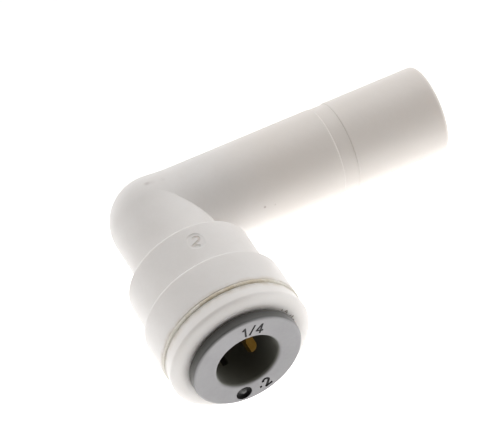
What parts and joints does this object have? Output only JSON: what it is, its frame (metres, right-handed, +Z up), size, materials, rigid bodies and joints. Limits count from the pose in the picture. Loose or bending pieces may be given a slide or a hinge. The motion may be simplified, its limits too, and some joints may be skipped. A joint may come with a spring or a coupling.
{
  "type": "push to connect fitting",
  "caption": "Stem elbow push-to-connect fitting: a tube socket with a sliding release collet at right angles to a plain plug-in stem.",
  "frame": {"origin": "under the middle of the overall box, on the plane that the socket's largest ring rests on", "axes": "+X along the plug-in stem, outward; the tube socket opens along -Y; +Z up, square to both arms"},
  "size_m": [0.0392, 0.0258, 0.0153],
  "materials": {
    "body_plastic": "satin white acetal",
    "cap_plastic": "satin cream-white acetal",
    "collet_plastic": "satin mid-grey acetal",
    "tooth_steel": "stamped stainless steel",
    "seal_rubber": "black rubber, lightly greased",
    "washer_plastic": "natural acetal"
  },
  "bodies": {
    "fitting": {"elbow_body": "body_plastic", "end_cap": "cap_plastic", "o_ring": "seal_rubber", "seal_washer": "washer_plastic"},
    "collet": {"collet": "collet_plastic", "collet_tooth_1": "tooth_steel", "collet_tooth_2": "tooth_steel", "collet_tooth_3": "tooth_steel", "collet_tooth_4": "tooth_steel", "collet_tooth_5": "tooth_steel", "collet_tooth_6": "tooth_steel"}
  },
  "joints": [
    {"name": "collet_slide", "type": "slide", "parent": "fitting", "child": "collet", "axis": [0, -1, 0], "range_m": [0, 0.0012]}
  ]
}
